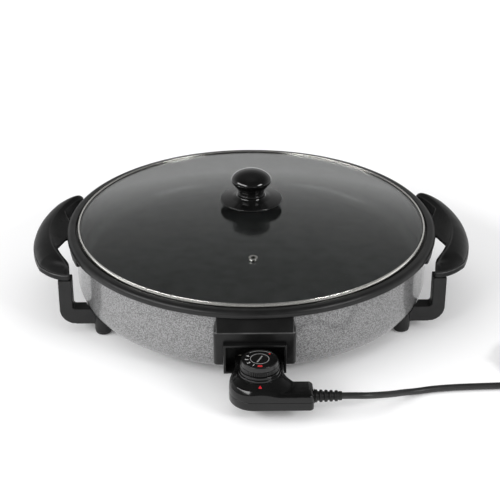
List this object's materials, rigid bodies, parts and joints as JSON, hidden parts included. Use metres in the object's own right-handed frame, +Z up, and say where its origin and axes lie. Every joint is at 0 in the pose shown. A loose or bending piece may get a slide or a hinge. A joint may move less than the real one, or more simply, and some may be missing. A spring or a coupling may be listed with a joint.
{
  "type": "electric skillet",
  "caption": "Round electric pan with a lift-off glass lid, side handles on legs, and a plug-in thermostat controller with a dial, a probe and a mains lead.",
  "frame": {"origin": "on the table, under the middle of the footprint of the object without its cord", "axes": "+Z up, -Y towards the controller at the front, +X to the right seen from the front, along the line through both handles"},
  "size_m": [0.64, 0.488, 0.1598],
  "materials": {
    "pan_coat": "cast aluminium, hammered grey coat outside and black non-stick coat inside and on the rim",
    "element_sheath": "heat-darkened steel sheath",
    "steel": "plain zinc-plated or stainless steel",
    "ceramic": "unglazed steatite",
    "bakelite": "satin black moulded phenolic",
    "pad_rubber": "matte black rubber",
    "lid_glass": "clear tempered glass",
    "lid_steel": "polished stainless steel",
    "knob_black": "glossy black moulded phenolic",
    "brass": "plain turned brass",
    "controller_black": "glossy black moulded plastic with a satin lower shell",
    "dial_black": "satin black with pale figures and a red mark",
    "pilot_red": "clear red lens",
    "lamp_glass": "neon lamp",
    "cord_black": "satin black flexible sheath"
  },
  "bodies": {
    "pan_base": {"pan": "pan_coat", "heating_element": "element_sheath", "terminal_pins": "steel", "terminal_insulators": "ceramic", "socket_hood": "bakelite", "socket_frame": "bakelite", "hood_screws": "steel", "left_handle": "bakelite", "right_handle": "bakelite", "left_handle_base": "bakelite", "right_handle_base": "bakelite", "handle_screws": "steel", "base_screws": "steel", "front_left_leg": "bakelite", "front_right_leg": "bakelite", "rear_left_leg": "bakelite", "rear_right_leg": "bakelite", "leg_screws": "steel", "foot_screws": "steel", "foot_pads": "pad_rubber"},
    "lid": {"lid_glass": "lid_glass", "lid_ring": "lid_steel", "vent_eyelet": "lid_steel", "lid_knob": "knob_black", "knob_guard": "knob_black", "knob_screw": "steel", "knob_washer": "pad_rubber", "knob_insert": "brass"},
    "controller": {"controller_top": "controller_black", "controller_base": "controller_black", "controller_screws": "steel", "probe_tube": "steel", "contact_sockets": "brass", "thermostat_switch": "ceramic", "switch_leaf": "brass", "pilot_lens": "pilot_red", "pilot_lamp": "lamp_glass", "cord_clamp": "steel", "clamp_screws": "steel", "strain_relief": "cord_black", "cord_run": "cord_black", "cord_coil": "cord_black", "cord_tail": "cord_black", "coil_tie": "cord_black", "plug_body": "cord_black", "plug_pins": "steel", "plug_earth_clips": "brass"},
    "dial_knob": {"dial": "dial_black", "dial_spindle": "steel", "spindle_clip": "steel"}
  },
  "joints": [
    {"name": "lid_lift", "type": "slide", "parent": "pan_base", "child": "lid", "axis": [0, 0, 1], "range_m": [0, 0.15]},
    {"name": "controller_pull", "type": "slide", "parent": "pan_base", "child": "controller", "axis": [0, -1, 0], "range_m": [0, 0.12]},
    {"name": "dial_turn", "type": "hinge", "parent": "controller", "child": "dial_knob", "pos_m": [0.0043, -0.212, 0.0479], "axis": [0, 0, 1], "range_deg": [-270, 0]}
  ]
}
